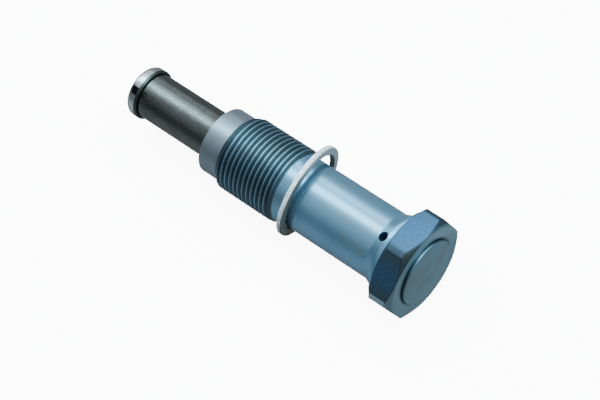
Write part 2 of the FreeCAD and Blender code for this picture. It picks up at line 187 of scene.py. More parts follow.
class FinishColours(bpy.types.PropertyGroup):
    """Base colours of the finishes."""

    zinc: colour("Zinc", "Blue zinc plate", (0.195, 0.46, 0.685))
    # The top flat takes the flats' colour as the lit copy and the flats beside it a darker, shaded copy:
    # painted light and shade on one zinc plate.
    flats: colour("Hex flats", "Zinc plate on the rougher hex flats", (0.060, 0.168, 0.33))
    shaded_side_flats: colour("Side flats", "The same on the flats beside it", (0.058, 0.145, 0.265))
    end_face: colour("End face", "Zinc plate on the head's end face", (0.17, 0.35, 0.46))
    # Painted shade in the thread's valleys, darker than the zinc plate.
    shaded_valley: colour("Valleys", "Zinc plate between the thread's crests", (0.06, 0.10, 0.125))
    nose: colour("Nose", "Finely turned nose", (0.28, 0.37, 0.44))
    plunger: colour("Plunger", "Dark ground steel", (0.22, 0.245, 0.24))
    cap: colour("Cap", "Polished steel", (0.76, 0.86, 0.94))
    ring: colour("Seal ring", "Soft aluminium", (0.66, 0.88, 1.0))
    wire: colour("Wire", "Spring wire", (0.30, 0.30, 0.31))
    valve: colour("Valve", "Plain bright steel", (0.55, 0.56, 0.58))
    moulding: colour("Moulding", "Black plastic", (0.015, 0.015, 0.017))
    floor: colour("Floor", "Pale floor", (0.86, 0.87, 0.88))


class StageSettings(bpy.types.PropertyGroup):
    """Where the camera stands and how strong the lights are."""

    azimuth: angle("Azimuth", "Turn of the camera about Z", 42.1)
    elevation: angle("Elevation", "Height of the camera", 50.8)
    roll: angle("Roll", "Tilt of the picture", -1.9)
    distance: length("Distance", "From the part's origin to the camera plane", 0.4863)
    aside: length("Aside", "Origin's place right of the picture's middle", 0.02570)
    below: length("Below", "Origin's place below the picture's middle", 0.01425)
    lens: number("Lens", "Focal length in millimetres", 114.3)
    sky_strength: number("Studio", "Strength of the soft boxes", 5.0)
    floor_glow: number("Floor glow", "Light from the floor itself", 9.0)
    floor_gap: length("Floor gap", "Air between the part's lowest flat and the floor", 0.05 * MM)
    card_reach: length("Card reach", "From the screw axis to a card", 40.0 * MM)
    black_heading: angle("Black card", "From -Y up towards +Z", 36.0)
    grey_heading: angle("Grey card", "From -Y up towards +Z", 127.0)
    card_glow: number("Card glow", "Light of the grey card", 0.85)
    fill_power: number("Fill", "Power of the wide fill light", 100.0)


class Value:
    """A socket in a node tree, so that shader maths reads as Python."""

    def __init__(self, graph, socket):
        self.graph = graph
        self.socket = socket

    def calculate(self, operation, *others):
        """A maths node on this value."""
        return self.graph.node("ShaderNodeMath", {"operation": operation}, [self, *others])

    def __add__(self, other):
        return self.calculate("ADD", other)

    __radd__ = __add__

    def __mul__(self, other):
        return self.calculate("MULTIPLY", other)

    __rmul__ = __mul__

    def __sub__(self, other):
        return self.calculate("SUBTRACT", other)

    def __rsub__(self, other):
        return self.graph.node("ShaderNodeMath", {"operation": "SUBTRACT"}, [other, self])

    def __truediv__(self, other):
        return self.calculate("DIVIDE", other)

    def above(self, edge, soft):
        """0 below the edge, 1 above it, with a soft step."""
        settings = {"interpolation_type": "SMOOTHSTEP"}
        return self.graph.node("ShaderNodeMapRange", settings, [self, edge - soft, edge + soft, 0.0, 1.0])

    def between(self, low, high, soft):
        """1 between two edges, 0 outside them."""
        return self.above(low, soft) * (1.0 - self.above(high, soft))

    def root(self):
        return self.calculate("SQRT")

    def clamped(self):
        return self.graph.node("ShaderNodeClamp", {}, [self, 0.0, 1.0])


class Graph:
    """A node tree with its coordinates split into along, across and up."""

    def __init__(self, tree, coordinates):
        self.tree = tree
        self.place = self.node("ShaderNodeTexCoord", {}, [], coordinates)
        parts = tree.nodes.new("ShaderNodeSeparateXYZ")
        tree.links.new(self.place.socket, parts.inputs[0])
        self.along, self.across, self.up = (Value(self, parts.outputs[axis]) for axis in "XYZ")

    def node(self, kind, settings, values, output=0):
        """Add a node, set its properties and feed its inputs in order."""
        made = self.tree.nodes.new(kind)
        for name, setting in settings.items():
            setattr(made, name, setting)
        for number, value in enumerate(values):
            self.feed(made.inputs[number], value)
        return Value(self, made.outputs[output])

    def feed(self, socket, value):
        """Link a value to a socket, or set the socket to a constant."""
        if isinstance(value, Value):
            self.tree.links.new(value.socket, socket)
        elif value is not None:
            socket.default_value = value

    def ramp(self, factor, stops):
        """A smooth curve of grey levels."""
        made = self.tree.nodes.new("ShaderNodeValToRGB")
        band = made.color_ramp
        while len(band.elements) < len(stops):
            band.elements.new(1.0)
        for element, (position, level) in zip(band.elements, stops):
            element.position = position
            element.color = (level, level, level, 1.0)
        self.feed(made.inputs["Fac"], factor)
        return Value(self, made.outputs["Color"])

    def blend(self, factor, first, second, kind="MIX"):
        """Mix two colours."""
        made = self.tree.nodes.new("ShaderNodeMix")
        made.data_type = "RGBA"
        made.blend_type = kind
        self.feed(made.inputs["Factor"], factor)
        for name, tint in (("A", first), ("B", second)):
            socket = next(s for s in made.inputs if s.name == name and s.type == "RGBA")
            self.feed(socket, (*tint, 1.0) if isinstance(tint, tuple) else tint)
        return Value(self, next(s for s in made.outputs if s.type == "RGBA"))


class Finish(Graph):
    """A node material with one principled surface."""

    def __init__(self, name, base, roughness, metallic=1.0):
        self.material = bpy.data.materials.new(name)
        self.material.use_nodes = True
        super().__init__(self.material.node_tree, "Object")
        self.surface = self.tree.nodes["Principled BSDF"]
        self.surface.inputs["Base Color"].default_value = (*base, 1.0)
        self.surface.inputs["Roughness"].default_value = roughness
        self.surface.inputs["Metallic"].default_value = metallic
        self.material.diffuse_color = (*base, 1.0)

    def radius(self):
        """Distance from the screw axis."""
        return (self.across * self.across + self.up * self.up).root()

    def grain(self, scale, detail=2.0, roughness=0.5):
        """Noise in space, 0 to 1; scale is in features per metre."""
        return self.noise(
            {"noise_dimensions": "3D"},
            {"Vector": self.place, "Scale": scale, "Detail": detail, "Roughness": roughness},
        )

    def rings(self, scale, detail=2.0):
        """Noise that changes only along the screw axis, as turning leaves it."""
        return self.noise({"noise_dimensions": "1D"}, {"W": self.along, "Scale": scale, "Detail": detail})

    def stretched(self, along, around, detail=3.0):
        """Noise drawn out around the axis or along it."""
        mapped = self.tree.nodes.new("ShaderNodeMapping")
        self.feed(mapped.inputs["Vector"], self.place)
        mapped.inputs["Scale"].default_value = (along, around, around)
        place = Value(self, mapped.outputs[0])
        return self.noise({"noise_dimensions": "3D"}, {"Vector": place, "Scale": 1.0, "Detail": detail})

    def noise(self, settings, values):
        """A noise texture, its inputs fed by name."""
        made = self.tree.nodes.new("ShaderNodeTexNoise")
        for name, setting in settings.items():
            setattr(made, name, setting)
        for name, value in values.items():
            self.feed(made.inputs[name], value)
        return Value(self, made.outputs["Fac"])

    def paint(self, tint):
        """Give the surface its colour."""
        self.feed(self.surface.inputs["Base Color"], tint)

    def dull(self, roughness):
        """Give the surface its roughness."""
        self.feed(self.surface.inputs["Roughness"], roughness)

    def plate(self, metallic):
        """Say how far the surface is bare metal."""
        self.feed(self.surface.inputs["Metallic"], metallic)

    def bump(self, height, strength, distance):
        """Tilt the surface as this height would."""
        made = self.tree.nodes.new("ShaderNodeBump")
        made.inputs["Strength"].default_value = strength
        made.inputs["Distance"].default_value = distance
        self.feed(made.inputs["Height"], height)
        self.tree.links.new(made.outputs["Normal"], self.surface.inputs["Normal"])


def scaled(tint, factor):
    """A colour with every channel times one factor."""
    return tuple(channel * factor for channel in tint)


def blue_zinc(sizes, colours):
    """Blue zinc plate: bright on the shank, rough on the hex, greyer on the nose, dark in the thread where
    shade is painted into its valleys and onto its lead chamfer.
    """
    zinc = tuple(colours.zinc)
    finish = Finish("blue_zinc", zinc, 0.25, 0.7)
    specks = finish.grain(3600.0, 2.0, 0.6)
    drift = finish.grain(130.0, 2.0)
    nose = 1.0 - finish.along.above(sizes.nose_start + 0.1 * MM, 0.15 * MM)
    threaded = finish.along.between(sizes.nose_start, sizes.runout_end + 1.1 * MM, 0.3 * MM)
    crest = finish.radius().above(sizes.thread_radius - 0.16 * sizes.thread_depth, 0.07 * MM)
    shaded_valley = threaded * (1.0 - crest)
    head = finish.along.above(sizes.washer_face + 0.05 * MM, 0.05 * MM)
    end_face = finish.along.above(sizes.head_thickness - 0.3 * MM, 0.2 * MM)
    high_corner = finish.up.above(8.0 * MM, 3.0 * MM)
    base = shank_tint(finish, sizes, zinc, drift)
    base = hex_tint(finish, sizes, colours, base, head, high_corner, specks)
    base = face_tint(finish, sizes, colours, base, end_face, specks, drift)
    base = chamfer_tint(finish, sizes, base, head, end_face, high_corner)
    base = finish.blend(nose, base, tuple(colours.nose))
    base = finish.blend(threaded * 0.6, base, (0.16, 0.28, 0.36))
    # Painted shade in the thread's valleys and in the run-out behind them.
    base = finish.blend(shaded_valley * 0.9, base, tuple(colours.shaded_valley))
    # Painted shade on the lead chamfer in front of the thread.
    lead = finish.along.between(sizes.nose_start, sizes.thread_front - 0.3 * MM, 0.15 * MM)
    base = finish.blend(lead * 0.9, base, (0.015, 0.028, 0.034))
    glints = specks.above(0.62, 0.1) * (0.15 - 0.15 * head + 0.3 * nose)
    finish.paint(finish.blend(glints, base, (0.55, 0.66, 0.72)))
    rough = 0.12 + 0.08 * specks + 0.32 * head - 0.14 * end_face
    rough = rough + 0.13 * nose + 0.1 * threaded + 0.1 * shaded_valley
    finish.dull(rough.clamped())
    finish.plate(0.90 + 0.07 * head + 0.06 * shaded_valley + 0.02 * nose)
    turning = finish.rings(5200.0)
    dents = finish.grain(300.0, 2.0)
    height = turning * (1.0 - head) * 0.5 + specks * (0.5 + 1.2 * head) + dents * 1.5
    finish.bump(height, 0.18, 0.05 * MM)
    return finish.material


def shank_tint(finish, sizes, zinc, drift):
    """Bright zinc with paler clouds, a greenish drift, and painted shade behind the thread where the seal
    ring's reflection and shadow darken the shank.
    """
    clouds = finish.grain(90.0, 3.0)
    base = finish.blend(clouds.above(0.5, 0.25), zinc, scaled(zinc, 1.12))
    base = finish.blend(drift.above(0.58, 0.1) * 0.35, base, (0.36, 0.44, 0.40))
    # Painted shade: the seal ring's dark reflection and shadow on the shank, in cloudy patches.
    ring_shade_start = sizes.runout_start + 3.0 * MM
    ring_shade = finish.along.between(ring_shade_start, ring_shade_start + 5.5 * MM, 1.2 * MM)
    return finish.blend(ring_shade * clouds.above(0.4, 0.2) * 0.12, base, (0.10, 0.16, 0.17))


def hex_tint(finish, sizes, colours, base, head, high_corner, specks):
    """The hex: a flat on top painted brighter as lit, flats beside it painted dark as shaded, painted shade
    towards its corners, and bands where its corners are turned off, painted light low down and dark high up.
    """
    radius = finish.radius()
    # Painted light and shade: the top flat gets the lit colour, the flats beside it the shaded one.
    lit_flat = finish.up.above(sizes.flat_distance - 0.4 * MM, 0.2 * MM)
    flats = finish.blend(lit_flat, tuple(colours.shaded_side_flats), tuple(colours.flats))
    base = finish.blend(head, base, flats)
    base = finish.blend(head * specks.above(0.6, 0.1) * 0.35, base, (0.28, 0.42, 0.58))
    # Painted shade towards the hex corners, weaker on the lit top flat.
    rim = head * radius.above(sizes.flat_distance + 0.45 * MM, 0.5 * MM)
    base = finish.blend(rim * (0.7 - 0.4 * lit_flat), base, (0.10, 0.14, 0.16))
    # Painted highlight on the low turned corner bands and painted shade on the high ones.
    turned_corner = head * radius.above(sizes.corner_radius - 0.16 * MM, 0.06 * MM)
    base = finish.blend(turned_corner * (1.0 - high_corner) * 0.9, base, (0.45, 0.68, 0.80))
    return finish.blend(turned_corner * high_corner * 0.6, base, (0.06, 0.09, 0.11))


def face_tint(finish, sizes, colours, base, end_face, specks, drift):
    """The head's end face, with drifting patches, fine specks and painted shade in the moat round the boss.
    """
    base = finish.blend(end_face, base, tuple(colours.end_face))
    base = finish.blend(end_face * drift.above(0.55, 0.12) * 0.5, base, (0.15, 0.24, 0.24))
    base = finish.blend(end_face * specks.above(0.58, 0.1) * 0.35, base, (0.08, 0.16, 0.20))
    # Painted shade in the moat at the foot of the boss.
    moat_inside = sizes.boss_top_radius + 0.06 * MM
    moat_outside = sizes.boss_base_radius - 0.16 * MM
    moat = end_face * finish.radius().between(moat_inside, moat_outside, 0.05 * MM)
    return finish.blend(moat * 0.9, base, (0.01, 0.02, 0.025))


def chamfer_tint(finish, sizes, base, head, end_face, high_corner):
    """The chamfer round the end face: a slightly darker tone all round with painted shade, darkest at the
    corner nearest the camera, painted highlights on the low chamfers and the end face's upper rim, and a thin
    dark edge.
    """
    radius = finish.radius()
    slope = sizes.head_chamfer / (sizes.corner_radius - sizes.face_radius)
    chamfer_line = finish.along + (radius - sizes.face_radius) * slope
    outside_face = radius.above(sizes.face_radius - 0.02 * MM, 0.05 * MM)
    chamfer = outside_face * chamfer_line.above(sizes.head_thickness - 0.05 * MM, 0.04 * MM)
    edge_start = sizes.head_thickness - 0.22 * MM
    edge_end = sizes.head_thickness - 0.04 * MM
    dark_edge = outside_face * chamfer_line.between(edge_start, edge_end, 0.05 * MM)
    near_corner = finish.up.above(6.0 * MM, 4.0 * MM) * (1.0 - finish.across.above(-2.0 * MM, 4.0 * MM))
    # A slightly darker tone on all chamfers, and painted shade at the corner nearest the camera.
    base = finish.blend(chamfer * (0.2 + 0.65 * near_corner), base, (0.13, 0.18, 0.18))
    # Painted highlight on the end face's upper rim, away from the near corner.
    outer_face = radius.above(sizes.boss_base_radius + 0.6 * MM, 0.5 * MM)
    lit_face_rim = outer_face * finish.up.above(4.0 * MM, 5.0 * MM) * (1.0 - near_corner)
    base = finish.blend(end_face * lit_face_rim * 0.6, base, (0.30, 0.58, 0.72))
    # Painted highlight on the chamfers of the low corners.
    base = finish.blend(chamfer * (1.0 - high_corner) * 0.6, base, (0.38, 0.60, 0.70))
    return finish.blend(head * dark_edge * 0.8, base, (0.015, 0.02, 0.02))


def soft_aluminium(sizes, colours, middle, axis):
    """Seal ring: pale annealed aluminium with handling marks; the side that faces the head is greyer, painted
    light high up and shade low down, and the bore is painted dark as shade.
    """
    base = tuple(colours.ring)
    finish = Finish("soft_aluminium", base, 0.45, 0.08)
    marks = finish.grain(2300.0, 3.0, 0.65)
    clouds = finish.grain(240.0, 2.0)
    offsets = (finish.along - middle.x, finish.across - middle.y, finish.up - middle.z)
    through = sum(offset * share for offset, share in zip(offsets, axis))
    squared = sum(offset * offset for offset in offsets)
    # Painted shade on the ring's bore, which faces the shank across the gap.
    bore = 1.0 - squared.above((sizes.bore_radius + 0.3 * MM) ** 2, (0.4 * MM) ** 2)
    side = through.above(sizes.thickness / 2 - sizes.edge, 0.05 * MM)
    line = through.between(0.05 * MM, 0.2 * MM, 0.06 * MM)
    high = (0.82 * finish.across + 0.57 * finish.up).above(sizes.bore_radius * 0.4, sizes.bore_radius * 0.3)
    tint = finish.blend(marks.above(0.52, 0.07) * 0.8, base, scaled(base, 0.3))
    tint = finish.blend(line * 0.35, tint, scaled(base, 0.45))
    # The side that faces the head: painted light high up and painted shade low down, with marks.
    grey = finish.blend(high, (0.075, 0.09, 0.09), (0.30, 0.36, 0.42))
    grey = finish.blend(marks.above(0.55, 0.1) * 0.5, grey, (0.16, 0.19, 0.21))
    tint = finish.blend(side, tint, grey)
    finish.paint(finish.blend(bore, tint, (0.06, 0.075, 0.075)))
    finish.dull((0.24 + 0.12 * clouds + 0.10 * marks + 0.2 * side).clamped())
    finish.plate(0.3 - 0.3 * side)
    finish.bump(marks, 0.5, 0.10 * MM)
    return finish.material


def dark_ground_steel(colours):
    """Plunger: dark ground steel with fine marks around it, a speckled sheen and a few light scratches."""
    base = tuple(colours.plunger)
    finish = Finish("dark_ground_steel", base, 0.24)
    marks = finish.stretched(5200.0, 160.0)
    scratches = finish.stretched(900.0, 5200.0, 1.0)
    specks = finish.grain(2100.0, 3.0, 0.7)
    clouds = finish.grain(260.0, 3.0)
    tint = finish.blend(clouds.above(0.5, 0.3), base, scaled(base, 0.7))
    tint = finish.blend(specks.above(0.5, 0.1) * 0.5, tint, scaled(base, 0.5))
    tint = finish.blend((1.0 - specks.above(0.38, 0.05)) * 0.4, tint, (0.40, 0.44, 0.43))
    tint = finish.blend(scratches.above(0.72, 0.05) * 0.4, tint, (0.5, 0.52, 0.52))
    finish.paint(tint)
    finish.dull((0.13 + 0.10 * marks + 0.08 * clouds).clamped())
    finish.bump(marks * 0.6 + specks, 0.3, 0.04 * MM)
    return finish.material


def polished_steel(sizes, colours):
    """End cap: mirror polish, darker where its back shoulder meets the plunger: a painted dark reflection on
    the shoulder and painted shade in the crease.
    """
    base = tuple(colours.cap)
    finish = Finish("polished_steel", base, 0.07)
    haze = finish.grain(500.0, 2.0)
    shoulder = finish.along.above(sizes.cap_back - sizes.cap_shoulder, 0.06 * MM)
    inside = 1.0 - finish.radius().above(sizes.sleeve_radius + 0.2 * MM, 0.08 * MM)
    joint = finish.along.above(sizes.cap_back - 0.16 * MM, 0.05 * MM) * inside
    # Painted dark reflection on the back shoulder, and black painted shade in the crease at the plunger.
    tint = finish.blend(shoulder, base, (0.10, 0.125, 0.115))
    finish.paint(finish.blend(joint, tint, (0.01, 0.012, 0.015)))
    finish.dull((0.01 + 0.03 * haze + 0.3 * shoulder + 0.3 * joint).clamped())
    return finish.material


def drawn_wire(colours):
    """Springs and stop ring: dark drawn wire."""
    base = tuple(colours.wire)
    finish = Finish("drawn_wire", base, 0.35)
    marks = finish.grain(2500.0, 2.0)
    finish.paint(finish.blend(marks.above(0.5, 0.3), base, scaled(base, 0.8)))
    finish.dull((0.28 + 0.15 * marks).clamped())
    return finish.material


def bright_steel(colours):
    """Valve pieces: plain bright steel."""
    base = tuple(colours.valve)
    finish = Finish("bright_steel", base, 0.25)
    marks = finish.grain(1800.0, 2.0)
    finish.paint(finish.blend(marks.above(0.5, 0.3), base, scaled(base, 0.85)))
    finish.dull((0.2 + 0.12 * marks).clamped())
    return finish.material


def black_moulding(colours):
    """Filler pin: black moulded plastic."""
    base = tuple(colours.moulding)
    finish = Finish("black_moulding", base, 0.5, 0.0)
    marks = finish.grain(1500.0, 2.0)
    finish.paint(finish.blend(marks.above(0.5, 0.3), base, scaled(base, 1.6)))
    finish.dull((0.42 + 0.2 * marks).clamped())
    finish.bump(marks, 0.15, 0.05 * MM)
    return finish.material


def rounded_outline(corners):
    """Points of an outline in the XY plane; a corner is along, out and its rounding."""
    points = []
    count = len(corners)
    for index, (along, out, rounding) in enumerate(corners):
        here = Vector((along, out, 0.0))
        if rounding <= 0.0 or index in (0, count - 1):
            points.append(here)
            continue
        before = Vector((*corners[index - 1][:2], 0.0)) - here
        after = Vector((*corners[index + 1][:2], 0.0)) - here
        between = before.angle(after)
        reach = min(rounding / math.tan(between / 2), 0.49 * before.length, 0.49 * after.length)
        radius = reach * math.tan(between / 2)
        inward = (before.normalized() + after.normalized()).normalized()
        middle = here + inward * (radius / math.sin(between / 2))
        start = here + before.normalized() * reach - middle
        end = here + after.normalized() * reach - middle
        pieces = max(3, round(math.degrees(start.angle(end)) / 12))
        for piece in range(pieces + 1):
            points.append(middle + start.normalized().slerp(end.normalized(), piece / pieces) * radius)
    return points


def spin_outline(mesh, points, steps):
    """Turn a chain of points about the X axis."""
    chain = [mesh.verts.new(point) for point in points]
    edges = [mesh.edges.new(pair) for pair in zip(chain, chain[1:])]
    bmesh.ops.spin(
        mesh,
        geom=chain + edges,
        cent=(0.0, 0.0, 0.0),
        axis=(1.0, 0.0, 0.0),
        dvec=(0.0, 0.0, 0.0),
        angle=math.tau,
        steps=steps,
        use_merge=True,
    )


def close_mesh(mesh):
    """Merge what meets and point every face outwards."""
    bmesh.ops.remove_doubles(mesh, verts=mesh.verts[:], dist=0.0005 * MM)
    bmesh.ops.dissolve_degenerate(mesh, dist=0.0002 * MM, edges=mesh.edges[:])
    bmesh.ops.recalc_face_normals(mesh, faces=mesh.faces[:])


def finished_piece(name, mesh, body, material, nodes, crease=28.0):
    """Turn a bmesh into an object that rides on a body in place of its CAD nodes."""
    data = bpy.data.meshes.new(name)
    mesh.to_mesh(data)
    mesh.free()
    data.shade_smooth()
    data.set_sharp_from_angle(angle=math.radians(crease))
    data.materials.append(material)
    piece = bpy.data.objects.new(name, data)
    bpy.context.scene.collection.objects.link(piece)
    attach(piece, body)
    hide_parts(*nodes)
    return piece


# Each corner of the thread's form: its share of the pitch, and its depth as a share of the thread's.
THREAD_FORM = (
    (0.00, 0.03),
    (0.02, 0.00),
    (0.14, 0.00),
    (0.17, 0.04),
    (0.51, 0.93),
    (0.55, 1.00),
    (0.62, 1.00),
    (0.66, 0.93),
)


def cut_thread(mesh, sizes, steps):
    """Sweep a right-hand thread along its helix, then trim it to its lead chamfer and run-out cone."""
    pitch = sizes.thread_pitch
    turns = math.ceil((sizes.runout_start - sizes.nose_start) / pitch) + 3
    first = sizes.nose_start + (sizes.thread_phase - 2.0) * pitch
    chain = []
    for turn_number in range(turns):
        for share, depth in THREAD_FORM:
            place = first + (turn_number + share) * pitch
            radius = sizes.thread_radius - depth * sizes.thread_depth
            chain.append(mesh.verts.new((place, radius, 0.0)))
    edges = [mesh.edges.new(pair) for pair in zip(chain, chain[1:])]
    bmesh.ops.spin(
        mesh,
        geom=chain + edges,
        cent=(0.0, 0.0, 0.0),
        axis=(1.0, 0.0, 0.0),
        dvec=(pitch / steps, 0.0, 0.0),
        angle=math.tau,
        steps=steps,
        use_merge=False,
    )
    lead = (sizes.thread_radius - sizes.nose_radius) / (sizes.thread_front - sizes.nose_start)
    fall = (sizes.thread_radius - sizes.shank_radius) / (sizes.runout_start - sizes.runout_end)
    for vert in mesh.verts:
        place = min(max(vert.co.x, sizes.nose_start), sizes.runout_start)
        radius = math.hypot(vert.co.y, vert.co.z)
        limit = min(
            sizes.nose_radius + lead * (place - sizes.nose_start),
            sizes.shank_radius + fall * (sizes.runout_start - place),
        )
        scale = min(radius, limit) / radius
        vert.co = (place, vert.co.y * scale, vert.co.z * scale)


def mill_flats(mesh, sizes):
    """Cut the six flats off the turned head and break their edges."""
    for number in range(6):
        heading = math.radians(30.0 + 60.0 * number)
        normal = Vector((0.0, math.cos(heading), math.sin(heading)))
        cut = bmesh.ops.bisect_plane(
            mesh,
            geom=mesh.verts[:] + mesh.edges[:] + mesh.faces[:],
            dist=0.0001 * MM,
            plane_co=normal * sizes.flat_distance,
            plane_no=normal,
            clear_outer=True,
        )
        rim = [item for item in cut["geom_cut"] if isinstance(item, bmesh.types.BMEdge)]
        bmesh.ops.contextual_create(mesh, geom=rim)
    edges = [edge for edge in mesh.edges if edge.calc_length() > 0 and on_flat_rim(edge)]
    bmesh.ops.bevel(
        mesh,
        geom=edges,
        offset=0.13 * MM,
        offset_type="OFFSET",
        affect="EDGES",
        segments=2,
        profile=0.5,
        material=-1,
        clamp_overlap=True,
    )


def on_flat_rim(edge):
    """Whether an edge is a sharp border of a milled flat; no other large faces lie in front of X = 0."""
    if len(edge.link_faces) != 2:
        return False
    flats = [face for face in edge.link_faces if len(face.verts) > 8 and face.calc_center_median().x > 0]
    return len(flats) >= 1 and edge.calc_face_angle(0.0) > math.radians(4.0)


def drill_oil_hole(piece, sizes):
    """Cut the oil hole and its countersink out of the finished housing."""
    drill = bmesh.new()
    top = sizes.pilot_radius + 2.0 * MM
    surface = sizes.shank_radius + 0.55 * MM
    outline = rounded_outline(
        [
            (2.0 * MM, 0.0, 0.0),
            (2.0 * MM, sizes.oil_hole_radius, 0.0),
            (surface - 0.25 * MM, sizes.oil_hole_radius, 0.0),
            (surface + 0.25 * MM, sizes.oil_hole_radius + 0.3 * MM, 0.0),
            (top, sizes.oil_hole_radius + 0.35 * MM, 0.0),
            (top, 0.0, 0.0),
        ]
    )
    spin_outline(drill, outline, HOLE_STEPS)
    close_mesh(drill)
    heading = sizes.oil_hole_heading
    outward = Vector((0.0, -math.cos(heading), math.sin(heading)))
    turn_out = Vector((1.0, 0.0, 0.0)).rotation_difference(outward).to_matrix().to_4x4()
    drill.transform(Matrix.Translation((sizes.oil_hole_place, 0.0, 0.0)) @ turn_out)
    data = bpy.data.meshes.new("drill")
    drill.to_mesh(data)
    drill.free()
    tool = bpy.data.objects.new("drill", data)
    bpy.context.scene.collection.objects.link(tool)
    cut = piece.modifiers.new("oil hole", "BOOLEAN")
    cut.operation = "DIFFERENCE"
    cut.solver = "EXACT"
    cut.object = tool
    evaluated = piece.evaluated_get(bpy.context.evaluated_depsgraph_get())
    drilled = bpy.data.meshes.new_from_object(evaluated)
    piece.modifiers.remove(cut)
    piece.data = drilled
    bpy.data.objects.remove(tool)


class TENSIONER_OT_housing(bpy.types.Operator):
    """Turn, mill, thread and drill the housing"""

    bl_idname = "tensioner.housing"
    bl_label = "Housing"

    def execute(self, context):
        sizes = context.scene.tensioner_housing
        mesh = bmesh.new()
        cut_thread(mesh, sizes, HOUSING_STEPS)
        spin_outline(mesh, rounded_outline(head_and_shank(sizes)), HOUSING_STEPS)
        spin_outline(mesh, rounded_outline(nose_and_bore(sizes)), HOUSING_STEPS)
        close_mesh(mesh)
        mill_flats(mesh, sizes)
        bmesh.ops.recalc_face_normals(mesh, faces=mesh.faces[:])
        material = blue_zinc(sizes, context.scene.tensioner_colours)
        piece = finished_piece("turned_housing", mesh, "housing", material, ["housing"])
        drill_oil_hole(piece, sizes)
        return {"FINISHED"}


def head_and_shank(sizes):
    """From the middle of the head's end face round the hex and along the shank to the thread."""
    top = HOUSING_HIGH.x
    end_face = sizes.head_thickness
    under = sizes.washer_face
    moat_floor = end_face - 0.14 * MM
    flare = -(sizes.pilot_length + sizes.flare_length)
    mid_shank = -20.0 * MM
    flare_third = (sizes.shank_radius - sizes.pilot_radius) / 3
    return [
        (top, 0.0, 0.0),
        (top, sizes.boss_top_radius * 0.5, 0.0),
        (top, sizes.boss_top_radius, 0.2 * MM),
        (moat_floor, sizes.boss_top_radius + 0.12 * MM, 0.1 * MM),
        (moat_floor, sizes.boss_base_radius - 0.08 * MM, 0.1 * MM),
        (end_face, sizes.boss_base_radius + 0.12 * MM, 0.08 * MM),
        (end_face, sizes.face_radius, 0.12 * MM),
        (end_face - sizes.head_chamfer, sizes.corner_radius, 0.1 * MM),
        (under + sizes.head_chamfer, sizes.corner_radius, 0.1 * MM),
        (under, sizes.face_radius, 0.08 * MM),
        (0.0, sizes.face_radius, 0.08 * MM),
        (0.0, sizes.pilot_radius, 0.1 * MM),
        (-sizes.pilot_length, sizes.pilot_radius, 0.3 * MM),
        (-sizes.pilot_length - sizes.flare_length / 3, sizes.pilot_radius + flare_third, 0.0),
        (-sizes.pilot_length - 2 * sizes.flare_length / 3, sizes.pilot_radius + 2 * flare_third, 0.0),
        (flare, sizes.shank_radius, 1.5 * MM),
        (flare - 3.0 * MM, sizes.shank_radius, 0.0),
        (mid_shank, sizes.shank_radius, 0.0),
        (sizes.runout_start, sizes.shank_radius, 0.0),
    ]


def nose_and_bore(sizes):
    """From the thread over the nose, into the bore and down to the drill cone on the axis."""
    tip = HOUSING_LOW.x
    return [
        (sizes.nose_start, sizes.nose_radius, 0.0),
        (sizes.nose_start - 2.0 * MM, sizes.nose_radius, 0.0),
        (tip, sizes.nose_radius, 0.35 * MM),
        (tip, sizes.bore_radius, 0.25 * MM),
        (sizes.groove_end, sizes.bore_radius, 0.0),
        (sizes.groove_end, sizes.groove_radius, 0.0),
        (sizes.groove_start, sizes.groove_radius, 0.0),
        (sizes.groove_start, sizes.bore_radius, 0.0),
        (sizes.bore_floor, sizes.bore_radius, 0.0),
        (sizes.bore_floor, sizes.pocket_radius, 0.0),
        (sizes.pocket_floor, sizes.pocket_radius, 0.0),
        (sizes.pocket_floor, sizes.feed_radius, 0.0),
        (sizes.feed_end, sizes.feed_radius, 0.0),
        (sizes.feed_end + 1.8 * MM, 0.0, 0.0),
    ]


class TENSIONER_OT_plunger(bpy.types.Operator):
    """Turn the plunger sleeve and its polished end cap"""

    bl_idname = "tensioner.plunger"
    bl_label = "Plunger and Cap"

    def execute(self, context):
        sizes = context.scene.tensioner_plunger
        colours = context.scene.tensioner_colours
        sleeve = turned_bar(sleeve_outline(sizes))
        steel = dark_ground_steel(colours)
        finished_piece("plunger_sleeve", sleeve, "plunger", steel, ["plunger"])
        cap = turned_bar(cap_outline(sizes))
        polish = polished_steel(sizes, colours)
        finished_piece("polished_cap", cap, "plunger", polish, ["thrust_cap"])
        return {"FINISHED"}


def turned_bar(corners):
    """A closed mesh turned from an outline."""
    mesh = bmesh.new()
    spin_outline(mesh, rounded_outline(corners), PLUNGER_STEPS)
    close_mesh(mesh)
    return mesh


def sleeve_outline(sizes):
    """From the bore's inner end over the guide land and along the sleeve to the cap, and back in the bore."""
    start, end = PLUNGER_HIGH.x, PLUNGER_LOW.x
    relief_radius = sizes.sleeve_radius - 0.25 * MM
    return [
        (start, sizes.sleeve_bore, 0.0),
        (start, sizes.land_radius, 0.1 * MM),
        (sizes.land_front, sizes.land_radius, 0.1 * MM),
        (sizes.land_front, sizes.sleeve_radius, 0.05 * MM),
        (sizes.land_front - 2.0 * MM, sizes.sleeve_radius, 0.0),
        (end + 2.0 * MM, sizes.sleeve_radius, 0.0),
        (end + 0.2 * MM, sizes.sleeve_radius, 0.08 * MM),
        (end + 0.1 * MM, relief_radius, 0.0),
        (end, relief_radius, 0.0),
        (end, sizes.sleeve_bore, 0.0),
        (start, sizes.sleeve_bore, 0.0),
    ]


